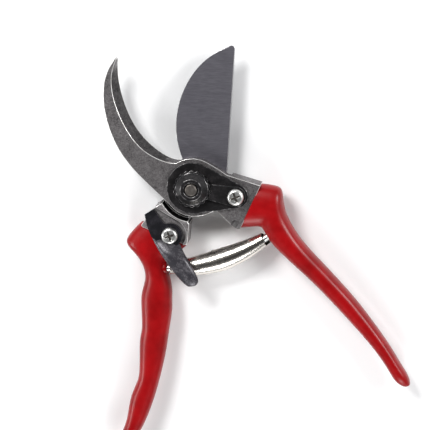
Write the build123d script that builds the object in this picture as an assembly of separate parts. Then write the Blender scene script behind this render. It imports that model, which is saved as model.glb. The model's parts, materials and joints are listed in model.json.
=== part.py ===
from build123d import *
import os
from math import atan2, cos, degrees, hypot, radians, sin

os.makedirs("parts", exist_ok=True)

# Bypass pruning shears, lying open on their back.
# Millimetres. The pivot axis is Z, z = 0 is the back of the bolt head, +Y runs towards the jaws.
# The blade half stays still; the hook half turns about Z to close, through minus closing_angle.

# ---- reach of each arm from the pivot, and where it points ----
blade_reach = 71.0
blade_angle = 73.5
hook_reach = 72.0
hook_angle = 120.5
left_handle_reach = 145.0
left_handle_angle = -106.0
right_handle_reach = 143.0
right_handle_angle = -42.5
closing_angle = 51.0

# ---- thicknesses, stacked along the pivot ----
bolt_head_height = 2.2
thrust_washer_thickness = 0.5
left_head_thickness = 5.0
blade_thickness = 3.0
hook_thickness = 5.5
cover_thickness = 1.5
segment_thickness = 2.0
nut_flange_height = 2.6
nut_dome_height = 3.2
bolt_end_height = 0.6

# ---- pivot ----
pivot_radius = 5.0
running_clearance = 0.05
thread_radius = 2.95
bolt_head_radius = 8.5
thrust_washer_radius = 9.5
nut_flange_radius = 9.0
nut_dome_radius = 7.8
nut_mouth_radius = 3.6
nut_mouth_depth = 1.2
nut_crown = 1.6
nut_teeth = 18
scallop_radius = 1.3
tooth_clearance = 0.3

# ---- heads ----
left_head_radius = 13.5
hook_head_radius = 14.2
deep_tang_radius = 19.0
shoulder_radius = 17.0
shoulder_right_angle = -96.3
shoulder_left_angle = -153.0
shoulder_reach = 28.3
shoulder_corners = [(21.3, -152.2), (32.2, -143.4), (34.0, -118.0)]
shoulder_toe = 1.2
stop_clearance = 0.3
tang_top = (16.4, 6.4)
notch_distance = 15.4
lobe_distance = 27.3
lobe_end_step = 2.6
lobe_end_turn = 2.6
tang_saddle = (14.6, 47.0)
notch_saddle = (14.5, -68.0)
deep_tang_lift = 1.5
deep_tang_angles = (-12.0, 17.0)
hook_bevel_width = 3.6
fade_in = 0.75
fade_out = 0.35
blade_bevel_width = 9.0
blade_land = 2.7
key_pin_radius = 1.6
key_pin_distance = 9.3
key_pin_cover = 1.0
rivet_set_back = 0.2

# ---- cover plate and lock ----
cover_radius = 12.5
lug_distance = 21.5
lug_angle = -10.0
lug_radius = 5.8
segment_radius = 4.9
segment_half_width = 4.2
screw_head_radius = 3.95
screw_head_height = 2.5
screw_radius = 2.0
screw_depth = 8.0
recess_size = 2.4
recess_width = 1.15
recess_depth = 1.5
recess_turn = 20.0

# ---- grips ----
grip_root_height = 14.2
grip_end_height = 10.5
grip_wall = 2.0
grip_centre_height = 9.9
core_end = 0.90
core_half_height = 3.6

# ---- catch ----
catch_angle = -115.9
catch_travel = 45.0
catch_boss_radius = 6.0
catch_pocket_clearance = 1.7
pocket_wall = 1.2
catch_distance = shoulder_radius + pocket_wall + catch_pocket_clearance + catch_boss_radius
nose_corners = [(-8.4, 12.3), (-11.2, 10.2), (-9.8, 5.2)]
pocket_opening = [(-8.4, 12.3), (-12.0, 16.0), (-30.0, 16.0), (-30.0, -20.0)]
nose_corner_radius = 0.9
nose_clearance = 0.6
bush_wall = 1.0
catch_pocket_depth = 1.5
catch_plate_thickness = 3.0
catch_lever_height = 3.9
catch_lift = 0.3
catch_washer_thickness = 0.5
washer_set_back = 0.6
lever_cut_radius = 11.6
nib_distance = 11.0
nib_locked_angle = -19.0
nib_radius = 1.5
nib_depth = 0.9
nib_sink = 0.5
dimple_clearance = 0.4

# ---- spring ----
spring_left_distance = 43.2
spring_left_angle = -107.5
spring_right_distance = 43.4
spring_right_angle = -35.2
spring_bow = 3.8
spring_end_radius = 3.3
spring_middle_radius = 5.6
spring_strip = 0.9
spring_stations = 9
stud_radius = 1.7
stud_length = 5.0
stud_sink = 4.0
seat_gap = 0.3
seat_radius = 4.2
seat_height = 2.5

# ---- levels along the pivot ----
z_left_head = bolt_head_height + thrust_washer_thickness
z_blade = z_left_head + left_head_thickness
z_hook = z_blade + blade_thickness
z_cover = z_hook + hook_thickness
z_segment = z_cover + cover_thickness
z_segment_top = z_segment + segment_thickness
z_nut_flange = z_segment + nut_flange_height
z_nut_top = z_nut_flange + nut_dome_height
z_bolt_end = z_nut_top + bolt_end_height
z_grip_low = grip_centre_height - grip_root_height / 2
z_grip_high = grip_centre_height + grip_root_height / 2
z_pocket = z_cover - catch_pocket_depth
z_catch = z_pocket + catch_washer_thickness
z_catch_top = z_catch + catch_plate_thickness
z_lever = z_cover + catch_lift
z_tail = z_grip_high + catch_lift
z_lever_top = z_lever + catch_lever_height


def polar(distance, angle):
    return (distance * cos(radians(angle)), distance * sin(radians(angle)))


def turned(points, angle):
    """Points (along, aside) of an arm that points along angle, as x and y."""
    c, s = cos(radians(angle)), sin(radians(angle))
    return [(u * c - v * s, u * s + v * c) for u, v in points]


def slab(face, low, high):
    return extrude(Pos(0, 0, low) * face, amount=high - low, dir=(0, 0, 1))


def disc(radius, low, high, centre=(0, 0)):
    return slab(Pos(centre[0], centre[1]) * Circle(radius), low, high)


def ring(radius, bore, low, high, centre=(0, 0)):
    return disc(radius, low, high, centre) - disc(bore, low - 1, high + 1, centre)


def closed(*edges):
    return make_face([edge for part in edges for edge in part.edges()])


def nose_shape(boss, corner):
    """The nose of the catch, or the pocket it lies in, about the axis of the catch."""
    rounds = [Pos(*place) * Circle(corner) for place in nose_corners]
    return make_hull([*Circle(boss).edges(), *[edge for round_ in rounds for edge in round_.edges()]])


def lug_shape(radius, far_radius, far):
    """Two circles joined by their tangents."""
    return make_hull([*Circle(radius).edges(), *(Pos(*far) * Circle(far_radius)).edges()])


def save(shape, name):
    export_step(shape, f"parts/{name}.step")


def pan_screw(centre, seat, depth):
    """Pan head with a cross recess, and its shank going down."""
    head = disc(screw_head_radius, seat, seat + screw_head_height)
    head = fillet(head.edges().group_by(Axis.Z)[-1], screw_head_height * 0.55)
    shank = disc(screw_radius, seat - depth, seat)
    arm = Box(2 * recess_size, recess_width, recess_depth)
    cross = arm + Rot(0, 0, 90) * arm
    cross = Pos(0, 0, seat + screw_head_height - recess_depth / 2) * Rot(0, 0, recess_turn) * cross
    tip = Pos(0, 0, seat + screw_head_height - recess_depth) * Cylinder(recess_size * 0.5, recess_depth)
    bowl = tip & (Pos(0, 0, seat + screw_head_height) * Sphere(recess_size * 0.55))
    return Pos(centre[0], centre[1], 0) * (head + shank - cross - bowl)


# ---- arm outlines: (share of the reach, mm aside) along each arm, anticlockwise side positive ----
blade_edge = [(0.14, 8.2), (0.25, 13.3), (0.40, 17.1), (0.52, 18.0), (0.70, 16.3), (0.85, 11.6),
              (0.95, 5.4), (0.985, 2.5)]
blade_spine = [(0.987, -0.5), (0.148, -13.5)]
blade_tip = (1.0, 0.9)
hook_back = [(1.0, 1.0), (0.965, 6.0), (0.85, 13.7), (0.63, 20.1), (0.46, 21.5), (0.257, 19.6),
             (0.107, 16.7), (-0.05, 13.5)]
hook_tip = (1.008, 0.2)
hook_front = [(1.0, -0.4), (0.89, 4.2), (0.71, 8.4), (0.55, 9.6), (0.41, 8.2), (0.30, 5.2),
              (0.225, 1.6), (0.18, -4.4)]
right_outer = [(0.212, 27.4), (0.231, 27.0), (0.297, 20.1), (0.404, 15.6), (0.535, 13.9), (0.677, 11.8),
               (0.835, 7.3), (0.98, 1.4)]
right_inner = [(0.955, -4.6), (0.81, 0.4), (0.67, 2.6), (0.50, 4.1), (0.37, 4.3), (0.287, 6.2),
               (0.262, 7.4)]
left_inner = [(0.985, -1.5), (0.94, 3.5), (0.86, 7.3), (0.77, 8.8), (0.65, 8.9), (0.53, 7.4),
              (0.37, 2.6), (0.285, -3.2)]
left_outer = [(0.248, -24.5), (0.280, -20.6), (0.318, -13.8), (0.352, -10.8), (0.43, -10.2), (0.52, -6.4),
              (0.57, -5.6), (0.65, -2.6), (0.70, -1.2), (0.77, -2.4), (0.86, -1.2), (0.93, -3.0), (0.98, -5.6)]

# ---- thumb lever of the catch, mm from the axis of the catch ----
lever_left = [(-10.6, 4.3), (-8.4, -2.2), (-5.3, -7.5), (-2.2, -12.1), (0.9, -16.8), (4.6, -21.1),
              (7.4, -24.0)]
lever_tip = (11.5, -24.6)
lever_right = [(13.4, -21.3), (11.6, -16.3), (8.5, -10.7), (6.1, -6.7), (5.1, -3.1)]


def along(points, reach, angle):
    return turned([(share * reach, aside) for share, aside in points], angle)


def set_back(points, width):
    """Points moved to the left of their path by width, and by nothing at the first and the last one."""
    moved = [points[0]]
    for i in range(1, len(points)):
        before, after = points[i - 1], points[min(i + 1, len(points) - 1)]
        dx, dy = after[0] - before[0], after[1] - before[1]
        fade = min(1.0, fade_in * i, fade_out * (len(points) - 1 - i))
        share = width * fade / hypot(dx, dy)
        moved.append((points[i][0] + dy * share, points[i][1] - dx * share))
    return moved


def edge_cut(points, profile, low):
    """Sweep of a profile along an edge; its x points out of the material and its y up."""
    curve = Spline(points)
    start = Plane(origin=curve @ 0, x_dir=Vector(0, 0, 1).cross(curve % 0), z_dir=curve % 0)
    face = start * make_face(Polyline(*profile, profile[0]).edges())
    return Pos(0, 0, low) * sweep(face, path=curve)


# ================= blade half =================
def make_blade():
    edge = along(blade_edge, blade_reach, blade_angle)
    spine = along(blade_spine, blade_reach, blade_angle)
    tip = along([blade_tip], blade_reach, blade_angle)[0]
    base = polar(left_head_radius, blade_angle - 180)
    left = polar(left_head_radius, blade_angle + 95)
    right = polar(left_head_radius, blade_angle - 95)
    shape = closed(Spline(edge), ThreePointArc(edge[-1], tip, spine[0]), Line(spine[0], spine[-1]),
                   Line(spine[-1], right), ThreePointArc(right, base, left), Line(left, edge[0]))
    blade = slab(shape, z_blade, z_hook)
    # the ground bevel is on the back, along the cutting edge
    blade -= edge_cut(edge, [(1, -0.1), (1, blade_land), (0, blade_land), (-blade_bevel_width, -0.1)], z_blade)
    blade = blade - disc(pivot_radius + running_clearance, z_blade - 1, z_hook + 1)
    for pin in key_pins:
        blade -= disc(key_pin_radius, z_blade - 1, z_hook + 1, pin)
    return blade


catch_axis = polar(catch_distance, catch_angle)
key_pins = [polar(key_pin_distance, blade_angle + turn) for turn in (110, -110)]
spring_left = polar(spring_left_distance, spring_left_angle)
spring_right = polar(spring_right_distance, spring_right_angle)
spring_chord = degrees(atan2(spring_right[1] - spring_left[1], spring_right[0] - spring_left[0]))
spring_span = hypot(spring_right[0] - spring_left[0], spring_right[1] - spring_left[1])
spring_arc_radius = (spring_span ** 2 / 4 + spring_bow ** 2) / (2 * spring_bow)
spring_half_turn = degrees(atan2(spring_span / 2, spring_arc_radius - spring_bow))
spring_left_heading = spring_chord - spring_half_turn
spring_right_heading = spring_chord + spring_half_turn + 180


def stud_at(place, heading):
    """A round stud that leaves its handle along heading, into the end of the spring."""
    pin = Cylinder(stud_radius, stud_sink + stud_length, align=(Align.CENTER, Align.CENTER, Align.MIN))
    pin = Pos(0, 0, -stud_sink) * pin
    pin = chamfer(pin.edges().group_by(Axis.Z)[-1], 0.6)
    return Pos(place[0], place[1], grip_centre_height) * Rot(0, 0, heading) * Rot(0, 90, 0) * pin


def seated(grip, place, heading):
    """The grip with a round flat seat for the end of the spring."""
    pad = Cylinder(seat_radius, seat_height, align=(Align.CENTER, Align.CENTER, Align.MAX))
    room = Cylinder(seat_radius + 0.5, seat_height * 3, align=(Align.CENTER, Align.CENTER, Align.MIN))
    move = Pos(place[0], place[1], grip_centre_height) * Rot(0, 0, heading) * Rot(0, 90, 0)
    return grip + move * pad - move * room


def handle_face(outer, inner, reach, angle, root, inset=0.0, end=1.0):
    """Closed outline of a handle: root line, outer side, rounded end and inner side."""
    outer = [(u * reach, v) for u, v in outer if u <= end]
    inner = [(u * reach, v) for u, v in inner if u <= end]
    if inset:
        side = 1 if outer[-1][1] > inner[0][1] else -1
        outer = [(u, v - side * inset) for u, v in outer]
        inner = [(u, v + side * inset) for u, v in inner]
    outer = turned(outer, angle)
    inner = turned(inner, angle)
    root = turned(root, angle)
    middle = ((outer[-1][0] + inner[0][0]) / 2, (outer[-1][1] + inner[0][1]) / 2)
    half = hypot(outer[-1][0] - inner[0][0], outer[-1][1] - inner[0][1]) / 2
    bulge = polar(half, degrees(atan2(middle[1], middle[0])))
    cap = (middle[0] + bulge[0], middle[1] + bulge[1])
    return closed(Line(root[0], outer[0]), Spline(outer), ThreePointArc(outer[-1], cap, inner[0]),
                  Spline(inner), Line(inner[-1], root[-1]), Polyline(*root[::-1]))


left_root = [(24.8, -20.2), (27.6, 4.0), (30.0, 3.0)]
right_root = [(23.4, 23.1), (30.4, 0.6)]


def grip_solid(outer, inner, reach, angle, root, z_high):
    """The dipped grip: thick at the root, thinner towards the end."""
    block = slab(handle_face(outer, inner, reach, angle, root), z_grip_low, z_high)
    start, far = shoulder_reach + 12, reach + 10
    for side in (1, -1):
        z_near = z_high if side == 1 else z_grip_low
        z_far = grip_centre_height + side * grip_end_height / 2
        z_out = z_near + side * 5
        profile = Polyline((start, z_near), (far, z_far), (far, z_out), (start, z_out), (start, z_near))
        block -= Rot(0, 0, angle) * extrude(Plane.XZ * make_face(profile.edges()), amount=60, both=True)
    return block


def make_left_half():
    arc_a = polar(shoulder_radius, shoulder_right_angle - 3)
    arc_m = polar(shoulder_radius, (shoulder_right_angle + shoulder_left_angle) / 2)
    arc_b = polar(shoulder_radius, shoulder_left_angle)
    corner = polar(shoulder_radius + shoulder_toe, shoulder_right_angle)
    right_end = polar(shoulder_reach, shoulder_right_angle)
    tip, left_end, bottom = [polar(*place) for place in shoulder_corners]
    shoulder = closed(ThreePointArc(arc_a, arc_m, arc_b), Line(arc_b, tip), Line(tip, left_end),
                      Line(left_end, bottom), Line(bottom, right_end), Line(right_end, corner),
                      Line(corner, arc_a))
    forging = slab(shoulder, z_left_head, z_cover)
    web = closed(Polyline(arc_a, polar(3, -60), polar(3, 160), arc_b, bottom, arc_a))
    forging += slab(web, z_left_head, z_blade)
    forging += disc(left_head_radius, z_left_head, z_blade)
    forging -= disc(shoulder_radius, z_blade, z_cover + 1)
    # core bar inside the grip
    bar = handle_face(left_outer, left_inner, left_handle_reach, left_handle_angle,
                      [(24.8, -16.0), (27.0, 0.0)], inset=grip_wall, end=core_end)
    forging += slab(bar, grip_centre_height - core_half_height, grip_centre_height + core_half_height)
    # pocket for the catch, open to the left
    x, y = catch_axis
    pocket_radius = catch_boss_radius + catch_pocket_clearance
    pocket = nose_shape(pocket_radius, nose_corner_radius + nose_clearance)
    low = (0, -pocket_radius)
    pocket += make_face(Polyline(low, *pocket_opening, low).edges())
    forging -= slab(Pos(x, y) * pocket, z_pocket, z_cover + 1)
    forging -= disc(pivot_radius + running_clearance, z_left_head - 1, z_blade + 1)
    for pin in key_pins:
        forging -= disc(key_pin_radius, z_left_head + key_pin_cover, z_blade + 1, pin)
    forging -= disc(screw_radius, z_catch_top - screw_depth - 0.3, z_cover + 1, catch_axis)
    forging -= stud_at(spring_left, spring_left_heading)
    return forging


def make_left_grip(forging):
    grip = grip_solid(left_outer, left_inner, left_handle_reach, left_handle_angle, left_root,
                      z_pocket - catch_lift)
    grip = seated(grip, spring_left, spring_left_heading)
    grip = grip - forging - stud_at(spring_left, spring_left_heading)
    return max(grip.solids(), key=lambda s: s.volume)


# ================= hook half =================
def make_hook_half():
    back = along(hook_back, hook_reach, hook_angle)
    front = along(hook_front, hook_reach, hook_angle)
    lean = set_back(front, hook_bevel_width)
    tip = along([hook_tip], hook_reach, hook_angle)[0]
    inside = polar(hook_head_radius / 2, hook_angle + 25)
    # the inner wall of the hook leans back from the shear edge to the upper face
    levels = []
    for wall, z in ((front, z_hook), (lean, z_cover)):
        face = closed(Spline(wall), Line(wall[-1], inside), Line(inside, back[-1]), Spline(back[::-1]),
                      ThreePointArc(back[0], tip, wall[0]))
        levels.append(Pos(0, 0, z) * face.face())
    forging = loft(levels, ruled=True)
    rim_top = polar(hook_head_radius, 70)
    rim_bottom = polar(hook_head_radius, -90)
    stop = shoulder_right_angle + closing_angle
    notch = polar(notch_distance, stop + degrees(stop_clearance / notch_distance))
    tang_far = turned([right_root[0]], right_handle_angle)[0]
    tang_low = turned([right_root[1]], right_handle_angle)[0]
    lobe = polar(lobe_distance, stop + degrees(stop_clearance / lobe_distance))
    lobe_end = polar(lobe_distance + lobe_end_step, stop + lobe_end_turn)
    tang = closed(Line(rim_bottom, rim_top), Spline([rim_top, polar(*tang_saddle), tang_top]),
                  Line(tang_top, tang_far), Line(tang_far, tang_low), Line(tang_low, lobe_end),
                  Line(lobe_end, lobe), Line(lobe, notch), Spline([notch, polar(*notch_saddle), rim_bottom]))
    forging += slab(tang, z_hook, z_cover)
    forging += disc(hook_head_radius, z_hook, z_cover)
    # the tang goes deeper beyond the sweep of the other half's head
    deep_near = polar(deep_tang_radius, stop + degrees(stop_clearance / deep_tang_radius))
    deep_middle, deep_top = [polar(deep_tang_radius, turn) for turn in deep_tang_angles]
    deep = closed(ThreePointArc(deep_near, deep_middle, deep_top), Line(deep_top, tang_far),
                  Line(tang_far, tang_low), Line(tang_low, lobe_end), Line(lobe_end, lobe), Line(lobe, deep_near))
    forging += slab(deep, z_left_head + deep_tang_lift, z_hook)
    bar = handle_face(right_outer, right_inner, right_handle_reach, right_handle_angle,
                      [(22.0, 20.0), (28.5, 4.0)], inset=grip_wall, end=core_end)
    forging += slab(bar, grip_centre_height - core_half_height, grip_centre_height + core_half_height)
    forging -= disc(pivot_radius, z_hook - 1, z_cover + 1)
    lug = polar(lug_distance, lug_angle)
    forging -= disc(screw_radius, z_segment_top - screw_depth - 0.3, z_cover + 1, lug)
    locked = polar(nib_distance, nib_locked_angle)
    locked = (catch_axis[0] + locked[0], catch_axis[1] + locked[1])
    opened = turned([locked], closing_angle)[0]
    forging -= disc(nib_radius + dimple_clearance, z_cover - nib_depth - 0.3, z_cover + 1, opened)
    forging -= stud_at(spring_right, spring_right_heading)
    return forging


def make_right_grip(forging):
    grip = grip_solid(right_outer, right_inner, right_handle_reach, right_handle_angle, right_root,
                      z_grip_high)
    grip = seated(grip, spring_right, spring_right_heading)
    grip = grip - forging - stud_at(spring_right, spring_right_heading)
    return max(grip.solids(), key=lambda s: s.volume)


def make_cover():
    lug = polar(lug_distance, lug_angle)
    cover = slab(lug_shape(cover_radius, lug_radius, lug), z_cover, z_segment)
    cover -= disc(pivot_radius, z_cover - 1, z_segment + 1)
    return cover - disc(screw_radius, z_cover - 1, z_segment + 1, lug)


def scalloped(radius, extra=0.0):
    """A disc with round notches all the way round, one in line with the lock."""
    face = Circle(radius)
    for i in range(nut_teeth):
        place = polar(radius + scallop_radius * 0.55, lug_angle + (i + 0.5) * 360 / nut_teeth)
        face -= Pos(*place) * Circle(scallop_radius + extra)
    return face


def make_segment():
    lug = polar(lug_distance, lug_angle)
    inner = nut_flange_radius - 0.6
    half = degrees(atan2(segment_half_width, inner))
    top_in = polar(inner, lug_angle + half)
    low_in = polar(inner, lug_angle - half)
    ends = turned([(lug_distance, -segment_radius), (lug_distance, segment_radius)], lug_angle)
    body = closed(Polyline(top_in, low_in, *ends, top_in))
    body += Pos(*lug) * Circle(segment_radius)
    body -= Circle(nut_flange_radius + tooth_clearance)
    # teeth that stand in the scallops of the nut
    for i in (-1, 0):
        place = polar(nut_flange_radius + scallop_radius * 0.55, lug_angle + (i + 0.5) * 360 / nut_teeth)
        body += Pos(*place) * Circle(scallop_radius - tooth_clearance)
    body -= Pos(*lug) * Circle(screw_radius)
    return slab(body, z_segment, z_segment_top)


def make_bolt():
    head = disc(bolt_head_radius, 0, bolt_head_height)
    head = chamfer(head.edges().group_by(Axis.Z)[0], 0.8)
    shank = disc(pivot_radius, bolt_head_height, z_segment)
    thread = disc(thread_radius, z_segment, z_bolt_end)
    thread = chamfer(thread.edges().group_by(Axis.Z)[-1], 0.5)
    return head + shank + thread


def make_nut():
    flange = slab(scalloped(nut_flange_radius), z_segment, z_nut_flange)
    lower = Pos(0, 0, z_nut_flange) * Circle(nut_dome_radius)
    upper = Pos(0, 0, z_nut_top) * Circle(nut_mouth_radius + nut_crown)
    dome = loft([lower.face(), upper.face()])
    nut = flange + dome
    nut -= disc(thread_radius, z_segment - 1, z_nut_top + 1)
    mouth = Cone(thread_radius, nut_mouth_radius, nut_mouth_depth, align=(Align.CENTER, Align.CENTER, Align.MAX))
    return nut - Pos(0, 0, z_nut_top) * mouth


# ================= catch =================
def make_catch():
    x, y = catch_axis
    catch = slab(Pos(x, y) * nose_shape(catch_boss_radius, nose_corner_radius), z_catch, z_catch_top)
    lever = closed(Spline(lever_left), ThreePointArc(lever_left[-1], lever_tip, lever_right[0]),
                   Spline(lever_right), Line(lever_right[-1], lever_left[0]))
    lever = slab(Pos(x, y) * lever, z_lever, z_lever_top)
    reach = disc(lever_cut_radius, z_lever - 1, z_tail, catch_axis)
    lower_tail = disc(catch_distance + left_handle_reach, z_lever - 1, z_tail, catch_axis) - reach
    catch += lever - lower_tail
    catch -= disc(screw_head_radius + 0.4, z_catch_top, z_lever_top + 1, catch_axis)
    nib_place = polar(nib_distance, nib_locked_angle - catch_travel)
    catch += disc(nib_radius, z_cover - nib_depth, z_tail + nib_sink, (x + nib_place[0], y + nib_place[1]))
    return catch - disc(screw_radius + bush_wall + running_clearance, z_catch - 1, z_lever_top + 1, catch_axis)


# ================= spring =================
def make_spring():
    """Double volute as a hollow barrel, widest in the middle, along a shallow arc between the seats."""
    outer, inner = [], []
    for i in range(spring_stations):
        share = i / (spring_stations - 1)
        heading = (spring_half_turn - degrees(seat_gap / spring_arc_radius)) * (2 * share - 1)
        ahead = spring_span / 2 + spring_arc_radius * sin(radians(heading))
        aside = spring_arc_radius * (1 - cos(radians(heading))) - spring_bow
        x, y = turned([(ahead, aside)], spring_chord)[0]
        radius = spring_end_radius + (spring_middle_radius - spring_end_radius) * sin(radians(180 * share))
        place = Pos(spring_left[0] + x, spring_left[1] + y, grip_centre_height)
        place = place * Rot(0, 0, spring_chord + heading) * Rot(0, 90, 0)
        outer.append((place * Circle(radius)).face())
        inner.append((place * Circle(radius - spring_strip)).face())
    return loft(outer) - loft(inner)


left_forging = make_left_half()
right_forging = make_hook_half()
save(left_forging, "blade_handle_forging")
save(make_left_grip(left_forging), "left_grip_sleeve")
save(make_blade(), "cutting_blade")
rivets = []
for pin in key_pins:
    rivets.append(disc(key_pin_radius, z_left_head + key_pin_cover, z_hook - rivet_set_back, pin))
save(Compound(rivets), "blade_rivets")
save(pan_screw(catch_axis, z_catch_top, screw_depth), "catch_screw")
bush_radius = screw_radius + bush_wall
save(ring(bush_radius, screw_radius, z_pocket, z_catch_top, catch_axis), "catch_bush")
save(ring(catch_boss_radius - washer_set_back, bush_radius, z_pocket, z_catch, catch_axis), "catch_wave_washer")
save(ring(thrust_washer_radius, pivot_radius, bolt_head_height, z_left_head), "thrust_washer")
save(stud_at(spring_left, spring_left_heading), "left_spring_stud")
save(right_forging, "hook_handle_forging")
save(make_right_grip(right_forging), "right_grip_sleeve")
save(make_cover(), "cover_plate")
save(make_segment(), "lock_segment")
save(pan_screw(polar(lug_distance, lug_angle), z_segment_top, screw_depth), "segment_screw")
save(make_bolt(), "pivot_bolt")
save(make_nut(), "pivot_nut")
save(stud_at(spring_right, spring_right_heading), "right_spring_stud")
save(make_spring(), "volute_spring")
save(make_catch(), "catch_lever")
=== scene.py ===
import bpy
import json
from math import atan2, cos, pi, radians, sin
from mathutils import Matrix, Vector

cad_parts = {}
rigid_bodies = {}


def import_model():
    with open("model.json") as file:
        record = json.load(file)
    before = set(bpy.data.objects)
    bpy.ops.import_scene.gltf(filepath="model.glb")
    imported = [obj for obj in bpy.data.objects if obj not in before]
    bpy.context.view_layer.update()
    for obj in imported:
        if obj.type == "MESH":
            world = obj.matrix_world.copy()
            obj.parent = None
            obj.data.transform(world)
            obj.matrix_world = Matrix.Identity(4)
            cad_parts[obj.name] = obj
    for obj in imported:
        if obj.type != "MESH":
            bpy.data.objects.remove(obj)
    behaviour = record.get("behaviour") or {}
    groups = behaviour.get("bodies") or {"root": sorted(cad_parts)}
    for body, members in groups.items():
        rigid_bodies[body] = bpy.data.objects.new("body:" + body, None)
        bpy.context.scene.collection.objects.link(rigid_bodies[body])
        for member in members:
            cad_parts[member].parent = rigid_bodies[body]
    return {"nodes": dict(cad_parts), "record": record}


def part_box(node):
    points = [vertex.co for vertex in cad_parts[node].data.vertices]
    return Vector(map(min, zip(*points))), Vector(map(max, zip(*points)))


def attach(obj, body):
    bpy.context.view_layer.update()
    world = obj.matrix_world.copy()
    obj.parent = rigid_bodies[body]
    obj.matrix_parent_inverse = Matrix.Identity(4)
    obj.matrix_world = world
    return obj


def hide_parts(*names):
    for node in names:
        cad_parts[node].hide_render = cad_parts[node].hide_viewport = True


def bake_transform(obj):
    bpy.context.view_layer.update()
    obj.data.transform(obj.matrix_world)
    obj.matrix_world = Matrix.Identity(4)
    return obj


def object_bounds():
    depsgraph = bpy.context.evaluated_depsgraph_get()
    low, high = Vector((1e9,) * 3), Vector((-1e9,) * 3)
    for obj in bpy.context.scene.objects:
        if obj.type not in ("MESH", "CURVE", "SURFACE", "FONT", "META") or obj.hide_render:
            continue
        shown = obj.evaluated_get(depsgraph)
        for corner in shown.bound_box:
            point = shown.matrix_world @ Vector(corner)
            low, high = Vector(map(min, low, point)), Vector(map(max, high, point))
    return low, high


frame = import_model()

cadLow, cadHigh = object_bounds()
mm = 0.001
arms = {"hook": -42.5, "blade": -106.0, "cutting": 73.5}  # headings of the arms from the pivot, in degrees
print("frame loaded")


def clearSelection():
    if bpy.context.mode != "OBJECT":
        bpy.ops.object.mode_set(mode="OBJECT")
    bpy.ops.object.select_all(action="DESELECT")


def onlySelect(obj):
    clearSelection()
    obj.select_set(True)
    bpy.context.view_layer.objects.active = obj


def editAll():
    bpy.ops.object.mode_set(mode="EDIT")
    bpy.ops.mesh.select_all(action="SELECT")


def applyAll(obj):
    onlySelect(obj)
    for modifier in list(obj.modifiers):
        bpy.ops.object.modifier_apply(modifier=modifier.name)


def addModifier(obj, kind, **settings):
    modifier = obj.modifiers.new(kind.title(), kind)
    for key, value in settings.items():
        setattr(modifier, key, value)
    return modifier


def smoothShade(obj, limit=35):
    onlySelect(obj)
    bpy.ops.object.shade_smooth_by_angle(angle=radians(limit))


def setFinishes(obj, *names):
    obj.data.materials.clear()
    for name in names:
        obj.data.materials.append(finishes[name])


# the place of a point given along and aside of an arm, in millimetres
def turned(along, aside, heading):
    c, s = cos(radians(heading)), sin(radians(heading))
    return Vector(((along * c - aside * s) * mm, (along * s + aside * c) * mm, 0))


# a node output that can be added, subtracted and multiplied like a number
class Tap:
    def __init__(self, tree, socket):
        self.tree = tree
        self.socket = socket

    def combine(self, operation, first, second):
        node = self.tree.nodes.new("ShaderNodeMath")
        node.operation = operation
        for slot, value in zip(node.inputs, (first, second)):
            if isinstance(value, Tap):
                self.tree.links.new(value.socket, slot)
            else:
                slot.default_value = value
        return Tap(self.tree, node.outputs[0])

    def __add__(self, other):
        return self.combine("ADD", self, other)

    def __radd__(self, other):
        return self.combine("ADD", other, self)

    def __sub__(self, other):
        return self.combine("SUBTRACT", self, other)

    def __rsub__(self, other):
        return self.combine("SUBTRACT", other, self)

    def __mul__(self, other):
        return self.combine("MULTIPLY", self, other)

    def __rmul__(self, other):
        return self.combine("MULTIPLY", other, self)


# the nodes of a material or of the world
class NodeSet:
    def __init__(self, tree):
        self.tree = tree

    def node(self, kind, settings=None, values=None, out=0):
        made = self.tree.nodes.new(kind)
        for key, value in (settings or {}).items():
            setattr(made, key, value)
        for key, value in (values or {}).items():
            if isinstance(value, Tap):
                self.tree.links.new(value.socket, made.inputs[key])
            else:
                made.inputs[key].default_value = value
        return Tap(self.tree, made.outputs[out])

    def feed(self, shader, key, value):
        self.tree.links.new(value.socket, shader.inputs[key])


# a material with one Principled shader
class Finish(NodeSet):
    def __init__(self, name, fixed):
        self.material = bpy.data.materials.new(name)
        self.material.use_nodes = True
        super().__init__(self.material.node_tree)
        self.shader = self.tree.nodes["Principled BSDF"]
        for key, value in fixed.items():
            self.shader.inputs[key].default_value = value
        self.place = self.node("ShaderNodeTexCoord", out="Object")

    def set(self, key, value):
        self.feed(self.shader, key, value)

    def noise(self, scale, detail, rough, place=None):
        values = {"Vector": place or self.place, "Scale": scale, "Detail": detail, "Roughness": rough}
        return self.node("ShaderNodeTexNoise", None, values, "Fac")

    def step(self, value, low, high):  # 0 at low, 1 at high
        values = {"Value": value, "From Min": low, "From Max": high}
        return self.node("ShaderNodeMapRange", {"clamp": True}, values)

    def mix(self, factor, first, second):
        return self.node("ShaderNodeMix", {"data_type": "RGBA"}, {0: factor, 6: first, 7: second}, 2)

    def bump(self, height, distance, strength):
        values = {"Height": height, "Distance": distance, "Strength": strength}
        self.set("Normal", self.node("ShaderNodeBump", None, values))

    def stretched(self, turn, scale):  # turned about Z and stretched, for brush and grind lines
        values = {"Vector": self.place, "Rotation": (0, 0, radians(turn)), "Scale": scale}
        return self.node("ShaderNodeMapping", None, values)


forgedLook = {"dark": (0.050, 0.046, 0.047), "light": (0.27, 0.256, 0.258), "recessShade": (0.012, 0.011, 0.011, 1),
              "speckle": 1500, "cloud": 130, "grain": 520, "relief": 0.00012, "recessShadeFade": 0.4}


# the last argument scales both colours, for lighter and darker copies of the forged finish: painted light and
# painted shade
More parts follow.
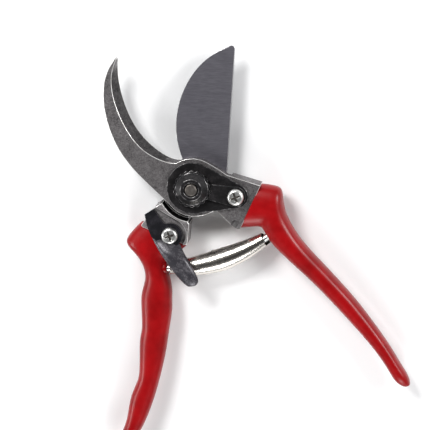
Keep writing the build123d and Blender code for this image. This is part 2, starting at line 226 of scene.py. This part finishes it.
def forgedSteel(name="forgedSteel", recess=None, paintedBrightness=1.0):
    look = forgedLook
    dark, light = [(*[channel * paintedBrightness for channel in look[key]], 1) for key in ("dark", "light")]
    f = Finish(name, {"Metallic": 0.85})
    speckle = f.noise(look["speckle"], 3, 0.75)
    cloud = f.noise(look["cloud"], 4, 0.6)
    grain = f.noise(look["grain"], 4, 0.7)
    tone = f.step(speckle * 0.55 + cloud * 0.25 + grain * 0.35, 0.42, 0.74)
    colour = f.mix(tone, dark, light)
    if recess:  # painted shade in the round recess about the pivot, below its top
        flat = f.node("ShaderNodeVectorMath", {"operation": "MULTIPLY"}, {0: f.place, 1: (1, 1, 0)})
        reach = f.node("ShaderNodeVectorMath", {"operation": "LENGTH"}, {0: flat}, "Value")
        height = f.node("ShaderNodeSeparateXYZ", None, {0: f.place}, "Z")
        # painted shade: the colour goes to near-black close to the pivot and fades out just below the top of
        # the recess
        recessShade = f.step(reach + speckle * 0.0004, recess["unshadedFrom"] * mm, recess["fullShadeAt"] * mm)
        recessShade = recessShade * f.step(height, recess["top"] * mm, (recess["top"] - look["recessShadeFade"]) * mm)
        colour = f.mix(recessShade, colour, look["recessShade"])
    f.set("Base Color", colour)
    f.set("Roughness", 0.54 - tone * 0.18 + cloud * 0.08)
    f.bump(speckle * 0.5 + grain * 0.6, look["relief"], 0.6)
    return f.material


def groundRim():
    look = {"dull": (0.60, 0.58, 0.55, 1), "bright": (0.95, 0.94, 0.92, 1), "fine": 1800, "slow": 220}
    f = Finish("groundRim", {"Metallic": 0.75})
    fine = f.noise(look["fine"], 3, 0.6)
    slow = f.noise(look["slow"], 3, 0.6)
    f.set("Base Color", f.mix(f.step(slow, 0.36, 0.58), look["dull"], look["bright"]))
    f.set("Roughness", 0.26 + fine * 0.14)
    f.bump(fine, 0.00003, 0.4)
    return f.material


def bladeSteel():
    look = {"dark": (0.145, 0.140, 0.163, 1), "light": (0.225, 0.218, 0.245, 1), "cloud": 60,
            "grind": (240, 2600, 240)}
    f = Finish("bladeSteel", {"Metallic": 0.92})
    lines = f.noise(1, 4, 0.65, f.stretched(-arms["cutting"], look["grind"]))
    cloud = f.noise(look["cloud"], 3, 0.5)
    tone = f.step(lines * 0.6 + cloud * 0.5, 0.35, 0.75)
    f.set("Base Color", f.mix(tone, look["dark"], look["light"]))
    f.set("Roughness", 0.40 + lines * 0.12 - cloud * 0.06)
    f.bump(lines, 0.00004, 0.35)
    return f.material


def dippedVinyl():
    look = {"deep": (0.19, 0.0003, 0.0012, 1), "bright": (0.29, 0.0006, 0.0022, 1),
            "pits": 620, "waves": 60, "mottle": 260, "coat": 0.2}
    f = Finish("dippedVinyl", {"IOR": 1.46, "Specular IOR Level": 0.30, "Coat Roughness": 0.2})
    waves = f.noise(look["waves"], 2, 0.45)
    pits = f.noise(look["pits"], 2, 0.6)
    mottle = f.noise(look["mottle"], 4, 0.6)
    f.set("Base Color", f.mix(f.step(waves * 0.6 + mottle * 0.4, 0.35, 0.65), look["deep"], look["bright"]))
    f.set("Roughness", 0.27 + mottle * 0.16)
    f.set("Coat Weight", f.step(waves, 0.2, 0.8) * look["coat"])
    pit = f.step(pits, 0.28, 0.40)
    f.bump(waves * 0.7 + mottle * 0.16 + pit * 0.14, 0.0003, 0.5)
    return f.material


blackLooks = {
    "black": {"name": "blackOxide", "rough": 0.27,
              "base": (0.007, 0.0066, 0.007, 1), "worn": (0.035, 0.032, 0.034, 1)},
    "catch": {"name": "catchBlack", "rough": 0.26,
              "base": (0.008, 0.008, 0.010, 1), "worn": (0.032, 0.030, 0.036, 1)},
    # the lever's black is lighter than the plate's black of the same part: painted light for the lever's
    # highlights, over real wear patches
    "thumb": {"name": "thumbBlack", "rough": 0.25,
              "base": (0.032, 0.030, 0.036, 1), "worn": (0.17, 0.16, 0.175, 1)},
}


def blackOxide(look):
    f = Finish(look["name"], {"Metallic": 0.25, "Specular IOR Level": 0.42})
    speckle = f.noise(1300, 3, 0.7)
    cloud = f.noise(210, 4, 0.6)
    wear = f.step(speckle * 0.5 + cloud * 0.6, 0.52, 0.78)
    f.set("Base Color", f.mix(wear, look["base"], look["worn"]))
    f.set("Roughness", look["rough"] + cloud * 0.16 - wear * 0.08)
    f.bump(speckle * 0.6 + cloud * 0.4, 0.00008, 0.5)
    return f.material


def wornEdge():
    look = {"covered": (0.03, 0.03, 0.032, 1), "bare": (0.26, 0.25, 0.25, 1), "patch": 420}
    f = Finish("wornEdge", {"Metallic": 0.8})
    patch = f.noise(look["patch"], 4, 0.6)
    bare = f.step(patch, 0.46, 0.62)
    f.set("Base Color", f.mix(bare, look["covered"], look["bare"]))
    f.set("Roughness", 0.40 - bare * 0.1)
    f.bump(patch, 0.00004, 0.4)
    return f.material


def zincPlate():
    look = {"dull": (0.66, 0.66, 0.63, 1), "bright": (0.90, 0.90, 0.88, 1), "cloud": 300,
            "lines": (300, 2400, 300)}
    f = Finish("zincPlate", {"Metallic": 1.0})
    cloud = f.noise(look["cloud"], 3, 0.5)
    lines = f.noise(1, 3, 0.6, f.stretched(20, look["lines"]))
    f.set("Base Color", f.mix(cloud, look["dull"], look["bright"]))
    f.set("Roughness", 0.27 + lines * 0.14)
    f.bump(lines, 0.00002, 0.3)
    return f.material


def nickelStrip():
    look = {"dull": (0.66, 0.62, 0.56, 1), "bright": (0.82, 0.79, 0.74, 1), "cloud": 180, "fine": 1600}
    f = Finish("nickelStrip", {"Metallic": 1.0})
    cloud = f.noise(look["cloud"], 3, 0.5)
    fine = f.noise(look["fine"], 2, 0.5)
    f.set("Base Color", f.mix(cloud, look["dull"], look["bright"]))
    f.set("Roughness", 0.16 + fine * 0.12)
    f.bump(fine, 0.00002, 0.3)
    return f.material


def darkBolt():
    look = {"dark": (0.05, 0.042, 0.038, 1), "light": (0.24, 0.22, 0.20, 1), "cloud": 420}
    f = Finish("darkBolt", {"Metallic": 0.9})
    cloud = f.noise(look["cloud"], 4, 0.65)
    f.set("Base Color", f.mix(cloud, look["dark"], look["light"]))
    f.set("Roughness", 0.36 + cloud * 0.2)
    f.bump(cloud, 0.0001, 0.6)
    return f.material


# painted shade in the pivot recess: none beyond the first reach, full within the second, fading out below the
# top
shoulderRecess = {"unshadedFrom": 19.4, "fullShadeAt": 18.6, "top": 15.9}  # millimetres from the pivot, and height
finishes = {
    # the blade handle forging takes a copy 1.9 times as light, painted light on its shoulder, with painted
    # shade in the pivot recess
    "forged": forgedSteel(), "rim": groundRim(), "recessed": forgedSteel("forgedLitShoulderShadedRecess", shoulderRecess, 1.9),
    # the inner wall of the hook takes a copy 0.45 times as light: painted shade
    "innerWallShade": forgedSteel("forgedInnerWallShade", None, 0.45), "blade": bladeSteel(), "vinyl": dippedVinyl(),
    "black": blackOxide(blackLooks["black"]), "catch": blackOxide(blackLooks["catch"]),
    "thumb": blackOxide(blackLooks["thumb"]), "worn": wornEdge(), "zinc": zincPlate(),
    "nickel": nickelStrip(), "bolt": darkBolt(),
}
print("finishes made")


# width is the size of the field of view at the target, tilt and towards are the camera's lean and its heading
view = {"target": (0.0097, -0.0149, 0.0080), "tilt": 12.9, "towards": 58.4, "distance": 1.15, "width": 0.2094,
        "sensor": 36}
floorLook = {"size": 6, "drop": 0.0003, "dull": (0.80, 0.80, 0.80, 1), "bright": (0.84, 0.84, 0.84, 1)}
lamps = {  # place, aim, size, power
    "keyLight": ((-0.50, 0.80, 0.95), (0, 0, 0), 0.45, 17),
    "sideLight": ((0.95, 0.35, 0.70), (0, -0.02, 0), 0.40, 9),
    "lowLight": ((0.10, -1.00, 0.60), (0, 0, 0), 0.55, 7),
    "leftLight": ((-1.00, -0.20, 0.60), (0, 0, 0), 0.40, 5),
}
air = {"ring": 0.30, "zenith": 0.024, "ringUpTo": 0.72, "zenithFrom": 0.93, "colour": (0.94, 0.96, 1.0, 1)}


def placeCamera():
    lean = Vector((cos(radians(view["towards"])), sin(radians(view["towards"])), 0))
    back = lean * sin(radians(view["tilt"])) + Vector((0, 0, cos(radians(view["tilt"]))))
    bpy.ops.object.camera_add(location=Vector(view["target"]) + back * view["distance"])
    camera = bpy.context.object
    camera.rotation_euler = Matrix.Rotation(radians(view["tilt"]), 3, Vector((-lean.y, lean.x, 0))).to_euler()
    camera.data.sensor_width = view["sensor"]
    camera.data.lens = view["sensor"] * view["distance"] / view["width"]
    bpy.context.scene.camera = camera


def paleFloor():
    bpy.ops.mesh.primitive_plane_add(size=floorLook["size"], location=(0, 0, cadLow.z - floorLook["drop"]))
    floor = bpy.context.object
    floor.name = "paleFloor"
    f = Finish("floorPaper", {"Roughness": 0.85})
    f.set("Base Color", f.mix(f.noise(3, 2, 0.5), floorLook["dull"], floorLook["bright"]))
    floor.data.materials.append(f.material)


def areaLight(name, place, aim, size, power):
    bpy.ops.object.light_add(type="AREA", location=place)
    lamp = bpy.context.object
    lamp.name = name
    lamp.data.size = size
    lamp.data.energy = power
    lamp.rotation_euler = (Vector(aim) - Vector(place)).to_track_quat("-Z", "Y").to_euler()


# bright all round and dark overhead, so that flat metal reads dark
def studioAir():
    world = bpy.data.worlds.new("studioAir")
    world.use_nodes = True
    shader = world.node_tree.nodes["Background"]
    shader.inputs["Color"].default_value = air["colour"]
    sky = NodeSet(world.node_tree)
    way = sky.node("ShaderNodeTexCoord", out="Generated")
    height = sky.node("ShaderNodeSeparateXYZ", None, {0: way}, "Z")
    fade = {"Value": height, "From Min": air["ringUpTo"], "From Max": air["zenithFrom"],
            "To Min": air["ring"], "To Max": air["zenith"]}
    sky.feed(shader, "Strength", sky.node("ShaderNodeMapRange", None, fade))
    bpy.context.scene.world = world


placeCamera()
paleFloor()
for name, settings in lamps.items():
    areaLight(name, *settings)
studioAir()
bpy.context.scene.view_settings.view_transform = "Standard"
print("camera and light set")


# node: name of the piece, its finish, the finish of its broken edges, their width in millimetres
metalPieces = {
    "hook_handle_forging": ("hookAndTang", "forged", "rim", 0.45),
    "blade_handle_forging": ("bladeHandleForging", "recessed", "rim", 0.45),
    "cutting_blade": ("curvedBlade", "blade", "rim", 0.18),
    "cover_plate": ("blackCoverPlate", "black", "worn", 0.25),
    "lock_segment": ("toothedLock", "black", "worn", 0.22),
    "pivot_nut": ("scallopedNut", "black", "worn", 0.25),
    "pivot_bolt": ("pivotBolt", "bolt", "bolt", 0.2),
    "catch_screw": ("catchScrew", "zinc", "zinc", 0.10),
    "segment_screw": ("segmentScrew", "zinc", "zinc", 0.10),
}
# how far apart corners may lie and still be drawn together before an edge is broken, in millimetres
merges = {"most": 0.3, "cutting_blade": 0.15, "catch_screw": 0.15, "segment_screw": 0.15}
edgeAngle = 32
# hidden pieces that keep their own mesh
plainNodes = {"blade_rivets": "zinc", "catch_bush": "zinc", "catch_wave_washer": "zinc",
              "thrust_washer": "zinc", "left_spring_stud": "zinc", "right_spring_stud": "zinc"}
hookFaces = {"dimple": turned(26.9, 0.7, arms["hook"]).xy, "dimpleReach": 2.6,
             "wallFrom": 10, "wallSlope": (0.3, 0.9)}
# the cross recess in each screw head, which is painted dark as shade
screwRecess = {"reach": 1.7, "deepest": 2.0, "shallowest": 0.35}
bladeTip = {"along": 71.0, "aside": 0.9, "land": 0.25, "outward": (800, 600), "fall": 2.4}
# just inside the mouth of each grip: a point, and the heading of the bar that goes on into the grip
gripMouths = {"hook_handle_forging": (turned(24.6, 23.4, arms["hook"]), -25.2),
              "blade_handle_forging": (turned(27.4, -8.0, arms["blade"]), -112.5)}


# where a piece is cut off: a point, and the way in which what lies beyond goes
def cutPlanes():
    tip = turned(bladeTip["along"], bladeTip["aside"], arms["cutting"])
    tip.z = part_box("cutting_blade")[1].z - bladeTip["land"] * mm
    grind = turned(*bladeTip["outward"], arms["cutting"])  # the grind on the back is carried on round the tip
    grind.z = -bladeTip["fall"]
    planes = {node: (place, turned(1000, 0, heading)) for node, (place, heading) in gripMouths.items()}
    return {**planes, "cutting_blade": (tip, grind)}


def dressed(node, pieceName, finish, rim, rimWidth, cut=None):
    onlySelect(frame["nodes"][node])
    bpy.ops.object.duplicate()
    piece = bpy.context.object
    bpy.ops.object.parent_clear(type="CLEAR_KEEP_TRANSFORM")
    piece.name = pieceName
    setFinishes(piece, finish, rim)
    merge = merges.get(node, merges["most"])
    editAll()
    bpy.ops.mesh.remove_doubles(threshold=merge * mm)
    bpy.ops.mesh.dissolve_limited(angle_limit=radians(5 * merge))
    bpy.ops.mesh.select_all(action="SELECT")
    bpy.ops.mesh.remove_doubles(threshold=merge * mm)
    bpy.ops.mesh.dissolve_degenerate(threshold=merge * mm)
    if cut:
        bpy.ops.mesh.select_all(action="SELECT")
        bpy.ops.mesh.bisect(plane_co=cut[0], plane_no=cut[1], use_fill=True, clear_outer=True)
    bpy.ops.object.mode_set(mode="OBJECT")
    piece.data.polygons.foreach_set("material_index", [0] * len(piece.data.polygons))
    addModifier(piece, "BEVEL", width=rimWidth * mm, segments=2, limit_method="ANGLE",
                angle_limit=radians(edgeAngle), material=1)
    applyAll(piece)
    evenShade(piece)
    return piece


def evenShade(piece):
    smoothShade(piece)
    addModifier(piece, "WEIGHTED_NORMAL", keep_sharp=True)
    applyAll(piece)


def bodyOf(node):
    for body, nodes in frame["record"]["behaviour"]["bodies"].items():
        if node in nodes:
            return body


# the piece stands for a node and rides where it rides
def carry(piece, node):
    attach(piece, bodyOf(node))
    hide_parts(node)


# the dimple keeps the plain finish, and the steep inner wall of the hook gets a darker copy of the forged
# finish, painted shade
def finishHook(piece):
    piece.data.materials.append(finishes["innerWallShade"])
    low, high = hookFaces["wallSlope"]
    for face in piece.data.polygons:
        if (face.center.xy - hookFaces["dimple"]).length < hookFaces["dimpleReach"] * mm:
            face.material_index = 0
        steep = low < face.normal.z < high and face.center.y > hookFaces["wallFrom"] * mm
        if face.material_index == 0 and steep:
            face.material_index = 2


# the walls of the cross recess take the dark bolt finish: painted shade in the recess
def finishScrew(piece):
    piece.data.materials.append(finishes["bolt"])
    top = max(corner[2] for corner in piece.bound_box)
    axis = sum((Vector(corner) for corner in piece.bound_box), Vector()) / 8
    low, high = top - screwRecess["deepest"] * mm, top - screwRecess["shallowest"] * mm
    for face in piece.data.polygons:
        if (face.center.xy - axis.xy).length < screwRecess["reach"] * mm and low < face.center.z < high:
            face.material_index = 2


cuts = cutPlanes()
for node, settings in metalPieces.items():
    piece = dressed(node, *settings, cuts.get(node))
    carry(piece, node)
    if node == "hook_handle_forging":
        finishHook(piece)
    if node in ("catch_screw", "segment_screw"):
        finishScrew(piece)
for node, finish in plainNodes.items():
    setFinishes(frame["nodes"][node], finish)
print("metal pieces dressed")


# smooth steps between the given sections, which stay where they are
def filledIn(values, parts):
    filled = []
    for i in range(len(values) - 1):
        before, after = values[max(i - 1, 0)], values[min(i + 2, len(values) - 1)]
        here, there = values[i], values[i + 1]
        for k in range(parts):
            t = k / parts
            filled.append(tuple(0.5 * (2 * b + (c - a) * t + (2 * a - 5 * b + 4 * c - d) * t * t
                                       + (3 * b - a - 3 * c + d) * t ** 3)
                                for a, b, c, d in zip(before, here, there, after)))
    filled.append(tuple(values[-1]))
    return filled


# a rounded section extruded through places given as left x, left y, right x, right y, low, high
def barAlong(pieceName, sections, finish, corner, levels):
    clearSelection()
    bpy.ops.mesh.primitive_plane_add(size=1, location=(0, 0, 0))
    piece = bpy.context.object
    piece.name = pieceName
    editAll()
    bpy.ops.mesh.bevel(offset=corner, segments=3, affect="VERTICES")
    bpy.ops.mesh.select_all(action="SELECT")
    bpy.ops.transform.rotate(value=-pi / 2, orient_axis="X", center_override=(0, 0, 0))
    centre, width, height, heading = Vector((0, 0, 0)), 1.0, 1.0, 0.0
    for i, (leftX, leftY, rightX, rightY, low, high) in enumerate(sections):
        if i:
            bpy.ops.mesh.extrude_region_move(TRANSFORM_OT_translate={"value": (0, 0, 0)})
        left, right = Vector((leftX, leftY, 0)), Vector((rightX, rightY, 0))
        middle = (left + right) / 2
        middle.z = (low + high) / 2
        across = right - left
        newWidth, newHeight, newHeading = across.length, high - low, atan2(across.y, across.x)
        bpy.ops.transform.rotate(value=heading, orient_axis="Z", center_override=centre)
        bpy.ops.transform.resize(value=(newWidth / width, 1, newHeight / height), center_override=centre)
        bpy.ops.transform.rotate(value=-newHeading, orient_axis="Z", center_override=centre)
        bpy.ops.transform.translate(value=middle - centre)
        centre, width, height, heading = middle, newWidth, newHeight, newHeading
    bpy.ops.mesh.select_all(action="SELECT")
    bpy.ops.mesh.normals_make_consistent(inside=False)
    bpy.ops.object.mode_set(mode="OBJECT")
    addModifier(piece, "SUBSURF", levels=levels, render_levels=levels)
    applyAll(piece)
    smoothShade(piece, 60)
    setFinishes(piece, finish)
    return piece


gripShape = {"centre": 9.9, "endHeight": 10.0, "low": 2.8, "taperFrom": 40, "tipLength": 7,
             "tipSqueeze": 0.32, "corner": 0.38, "parts": 3}
# each section is the outer and the inner side, along and aside of the arm
rightGrip = {
    "heading": arms["hook"], "reach": 143, "rootHigh": 17.0,
    "sections": [((23.2, 22.7), (30.2, 0.2)), ((23.9, 23.5), (30.9, 0.6)), ((27.5, 26.0), (33.8, 3.8)),
                 ((31.0, 27.7), (37.0, 6.9)), ((34.0, 26.6), (39.4, 6.8)), ((38.2, 22.9), (42.4, 5.9)),
                 ((44.5, 19.2), (47.5, 4.7)), ((57.7, 15.5), (58.5, 4.2)), ((76.5, 13.9), (75.0, 4.1)),
                 ((96.8, 11.8), (95.8, 2.6)), ((119.4, 7.3), (116.0, 0.4)), ((131.8, 3.7), (128.5, -2.3)),
                 ((139.2, 1.6), (136.0, -4.6)), ((142.4, -0.2), (140.4, -4.4)),
                 ((143.4, -1.4), (142.4, -3.4))],
}
leftGrip = {
    "heading": arms["blade"], "reach": 145, "rootHigh": 14.2,
    "sections": [((24.6, -19.8), (27.8, 4.5)), ((25.4, -20.6), (28.5, 4.7)), ((30.2, -23.2), (31.2, 3.4)),
                 ((35.2, -25.0), (35.2, 0.6)), ((38.2, -23.6), (38.8, -2.2)), ((41.6, -18.2), (42.6, -2.2)),
                 ((46.1, -13.6), (47.0, 0.0)), ((51.4, -11.2), (52.6, 2.8)), ((57.0, -11.0), (58.4, 4.4)),
                 ((62.4, -10.4), (64.0, 5.9)), ((75.4, -6.4), (76.9, 7.4)), ((82.7, -5.6), (84.0, 8.3)),
                 ((94.3, -2.6), (94.3, 8.9)), ((101.5, -1.3), (103.0, 9.0)), ((111.7, -2.4), (111.7, 8.8)),
                 ((124.7, -1.3), (124.7, 7.3)), ((134.9, -3.0), (136.3, 3.5)), ((141.6, -5.4), (142.6, -1.3)),
                 ((144.0, -5.0), (144.6, -3.0))],
}
springSeats = {"radius": 3.2, "length": 3.4, "height": 9.9, "sunk": 0.95, "rim": 0.9, "sides": 48,
               "left": turned(43.2, 0, -107.5), "leftHeading": 1.5,
               "right": turned(43.4, 0, -35.2), "rightHeading": 215.4}


# round vinyl seat that an end of the spring stands on
def seatPad(pieceName, place, heading, body):
    clearSelection()
    bpy.ops.mesh.primitive_cylinder_add(vertices=springSeats["sides"], radius=springSeats["radius"] * mm,
                                        depth=springSeats["length"] * mm)
    pad = bpy.context.object
    pad.name = pieceName
    addModifier(pad, "BEVEL", width=springSeats["rim"] * mm, segments=4, limit_method="ANGLE",
                angle_limit=radians(40))
    applyAll(pad)
    turn = Matrix.Rotation(radians(heading), 4, "Z") @ Matrix.Rotation(pi / 2, 4, "Y")
    shift = Matrix.Translation((0, 0, -(springSeats["length"] / 2 + springSeats["sunk"]) * mm))
    pad.data.transform(Matrix.Translation(place + Vector((0, 0, springSeats["height"] * mm))) @ turn @ shift)
    smoothShade(pad, 40)
    setFinishes(pad, "vinyl")
    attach(pad, body)


def dippedGrip(pieceName, grip, node):
    shape = gripShape
    endLow, endHigh = shape["centre"] - shape["endHeight"] / 2, shape["centre"] + shape["endHeight"] / 2
    sections = []
    outline = filledIn([(*outer, *inner) for outer, inner in grip["sections"]], shape["parts"])
    for u1, v1, u2, v2 in outline:
        along = (u1 + u2) / 2
        share = max(0.0, (along - shape["taperFrom"]) / (grip["reach"] - shape["taperFrom"]))
        low = shape["low"] + share * (endLow - shape["low"])
        high = grip["rootHigh"] + share * (endHigh - grip["rootHigh"])
        tip = max(0.0, (along - grip["reach"] + shape["tipLength"]) / shape["tipLength"])
        squeeze = (high - low) * shape["tipSqueeze"] * tip ** 2
        outer, inner = turned(u1, v1, grip["heading"]), turned(u2, v2, grip["heading"])
        sections.append((outer.x, outer.y, inner.x, inner.y, (low + squeeze) * mm, (high - squeeze) * mm))
    piece = barAlong(pieceName, sections, "vinyl", shape["corner"], 1)
    carry(piece, node)


dippedGrip("rightRedGrip", rightGrip, "right_grip_sleeve")
dippedGrip("leftRedGrip", leftGrip, "left_grip_sleeve")
seatPad("rightSpringSeat", springSeats["right"], springSeats["rightHeading"], "hook_half")
seatPad("leftSpringSeat", springSeats["left"], springSeats["leftHeading"], "blade_half")
print("grips shaped")


catchJoint = [joint for joint in frame["record"]["behaviour"]["joints"] if joint["name"] == "catch_turn"][0]
catchAxis = Vector(catchJoint["pos_m"])
catchAxis.z = 0
# heights and outlines in millimetres, the outlines about the axis of the catch
thumbCatch = {
    "top": 18.2, "plateLow": 16.5, "footLow": 15.2, "footLap": 0.5, "footScale": 0.99, "boss": 6.0,
    "bore": 3.05, "edge": 0.35, "bossFrom": 108, "bossStep": 12, "bossCount": 20, "corner": 0.46, "parts": 3,
    "nose": [(-12.1, 10.2), (-7.8, 12.9), (-6.1, 10.5), (-4.5, 8.2), (-2.9, 6.1)],
    "plateHeel": [(-9.0, -0.8), (-10.2, 2.2), (-11.1, 5.0)], "footHeel": [(-6.4, 0.8), (-10.4, 5.2)],
    "sections": [(-9.4, 0.6, 4.6, -4.0, 15.6, 18.0), (-8.4, -2.4, 5.4, -5.6, 15.8, 18.7),
                 (-6.8, -5.2, 6.5, -7.6, 16.1, 20.0), (-4.9, -8.3, 7.9, -10.0, 16.6, 21.2),
                 (-2.2, -12.2, 9.4, -12.4, 17.1, 21.7), (1.0, -17.0, 11.8, -16.6, 17.3, 21.5),
                 (4.6, -21.3, 13.5, -20.6, 17.4, 21.0), (7.2, -24.0, 13.7, -22.9, 17.8, 20.4),
                 (9.2, -25.2, 12.6, -24.5, 18.3, 19.6)],
}


# one corner is walked round the outline, closed and pulled up
def outlinedPlate(pieceName, points, low, high):
    corners = [catchAxis + Vector((x, y, low)) * mm for x, y in [*points, points[0]]]
    clearSelection()
    bpy.ops.mesh.primitive_plane_add(size=mm, location=(0, 0, 0))
    piece = bpy.context.object
    piece.name = pieceName
    editAll()
    bpy.ops.mesh.merge(type="CENTER")
    bpy.ops.transform.translate(value=corners[0])
    for last, corner in zip(corners, corners[1:]):
        bpy.ops.mesh.extrude_vertices_move(TRANSFORM_OT_translate={"value": corner - last})
    bpy.ops.mesh.select_all(action="SELECT")
    bpy.ops.mesh.remove_doubles(threshold=0.02 * mm)
    bpy.ops.mesh.select_all(action="SELECT")
    bpy.ops.mesh.edge_face_add()
    bpy.ops.mesh.select_all(action="SELECT")
    bpy.ops.mesh.extrude_region_move(TRANSFORM_OT_translate={"value": (0, 0, (high - low) * mm)})
    bpy.ops.mesh.select_all(action="SELECT")
    bpy.ops.mesh.normals_make_consistent(inside=False)
    bpy.ops.object.mode_set(mode="OBJECT")
    return piece


def combined(piece, other, operation):
    addModifier(piece, "BOOLEAN", object=other, operation=operation, solver="EXACT")
    applyAll(piece)
    bpy.data.objects.remove(other)


def catchPlate():
    size = thumbCatch
    angles = [radians(size["bossFrom"] - size["bossStep"] * i) for i in range(size["bossCount"])]
    boss = [(size["boss"] * cos(angle), size["boss"] * sin(angle)) for angle in angles]
    plate = outlinedPlate("catchPlate", [*size["nose"], *boss, *size["plateHeel"]], size["plateLow"],
                          size["top"])
    foot = outlinedPlate("catchFoot", [*size["nose"], *boss, *size["footHeel"]], size["footLow"],
                         size["plateLow"] + size["footLap"])
    shrink = Matrix.Diagonal((size["footScale"], size["footScale"], 1, 1))
    foot.data.transform(Matrix.Translation(catchAxis) @ shrink @ Matrix.Translation(-catchAxis))
    combined(plate, foot, "UNION")
    bpy.ops.mesh.primitive_cylinder_add(vertices=48, radius=size["bore"] * mm, depth=20 * mm)
    bore = bpy.context.object
    bore.data.transform(Matrix.Translation(catchAxis + Vector((0, 0, size["top"] * mm))))
    combined(plate, bore, "DIFFERENCE")
    addModifier(plate, "BEVEL", width=size["edge"] * mm, segments=3, limit_method="ANGLE",
                angle_limit=radians(edgeAngle))
    applyAll(plate)
    evenShade(plate)
    setFinishes(plate, "catch")
    return plate


def catchLever():
    plate = catchPlate()
    sections = []
    for x1, y1, x2, y2, low, high in filledIn(thumbCatch["sections"], thumbCatch["parts"]):
        left, right = catchAxis + Vector((x1, y1, 0)) * mm, catchAxis + Vector((x2, y2, 0)) * mm
        sections.append((left.x, left.y, right.x, right.y, low * mm, high * mm))
    # the lever takes the lighter black, painted light for its highlights
    lever = barAlong("thumbLever", sections, "thumb", thumbCatch["corner"], 2)
    carry(plate, "catch_lever")
    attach(lever, "catch")


catchLever()
print("catch shaped")


# strip sizes and radii in millimetres; stripWidth is in turns, so each turn laps over the next smaller one
spring = {"turns": 19, "steps": 40, "stripWidth": 1.35, "stripThickness": 0.22, "flare": 0.30,
          "endRadius": 3.1, "middleRadius": 5.45, "bow": 3.8, "gap": 0.3}


# a thin strip wound from both ends along the arc between the studs
def voluteSpring():
    start, end = springSeats["left"], springSeats["right"]
    chord = end - start
    bow = spring["bow"] * mm
    arcRadius = (chord.length ** 2 / 4 + bow ** 2) / (2 * bow)
    halfTurn = atan2(chord.length / 2, arcRadius - bow)
    alongChord = chord.normalized()
    outwards = Vector((alongChord.y, -alongChord.x, 0))
    arcCentre = (start + end) / 2 - outwards * (arcRadius - bow)
    lift = Vector((0, 0, springSeats["height"] * mm))
    gap = spring["gap"] * mm
    length = 2 * halfTurn * arcRadius - 2 * gap
    pitch = length / (spring["turns"] + spring["stripWidth"] - 1)
    steps = spring["turns"] * spring["steps"] // 2 + 1
    verts, faces = [], []
    for half in (0, 1):
        base = len(verts)
        for i in range(steps):
            turn = i / spring["steps"]
            share = turn / (spring["turns"] / 2)
            swell = (spring["middleRadius"] - spring["endRadius"]) * sin(share * pi / 2)
            radius = (spring["endRadius"] + swell) * mm
            for offset, inset in ((0, 0), (spring["stripWidth"], 0), (spring["stripWidth"], 1), (0, 1)):
                walk = gap + (turn + offset) * pitch
                if half:
                    walk = length + 2 * gap - walk
                angle = (walk / (length + 2 * gap) * 2 - 1) * halfTurn
                rise = offset / spring["stripWidth"] * spring["flare"] - inset * spring["stripThickness"]
                r = radius + rise * mm
                radial = outwards * cos(angle) + alongChord * sin(angle)
                spin = 2 * pi * turn * (-1 if half else 1)
                point = arcCentre + radial * (arcRadius + r * cos(spin)) + Vector((0, 0, r * sin(spin)))
                verts.append(point + lift)
        for i in range(steps - 1):
            for k in range(4):
                a, b = base + i * 4 + k, base + i * 4 + (k + 1) % 4
                faces.append((a, b, b + 4, a + 4))
        faces.append(tuple(base + k for k in range(4)))
        faces.append(tuple(base + (steps - 1) * 4 + k for k in range(4)))
    mesh = bpy.data.meshes.new("voluteStrip")
    mesh.from_pydata(verts, [], faces)
    piece = bpy.data.objects.new("voluteStrip", mesh)
    bpy.context.collection.objects.link(piece)
    onlySelect(piece)
    editAll()
    bpy.ops.mesh.normals_make_consistent(inside=False)
    bpy.ops.object.mode_set(mode="OBJECT")
    smoothShade(piece, 40)
    setFinishes(piece, "nickel")
    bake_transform(piece)
    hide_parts("volute_spring")


voluteSpring()
print("spring wound")
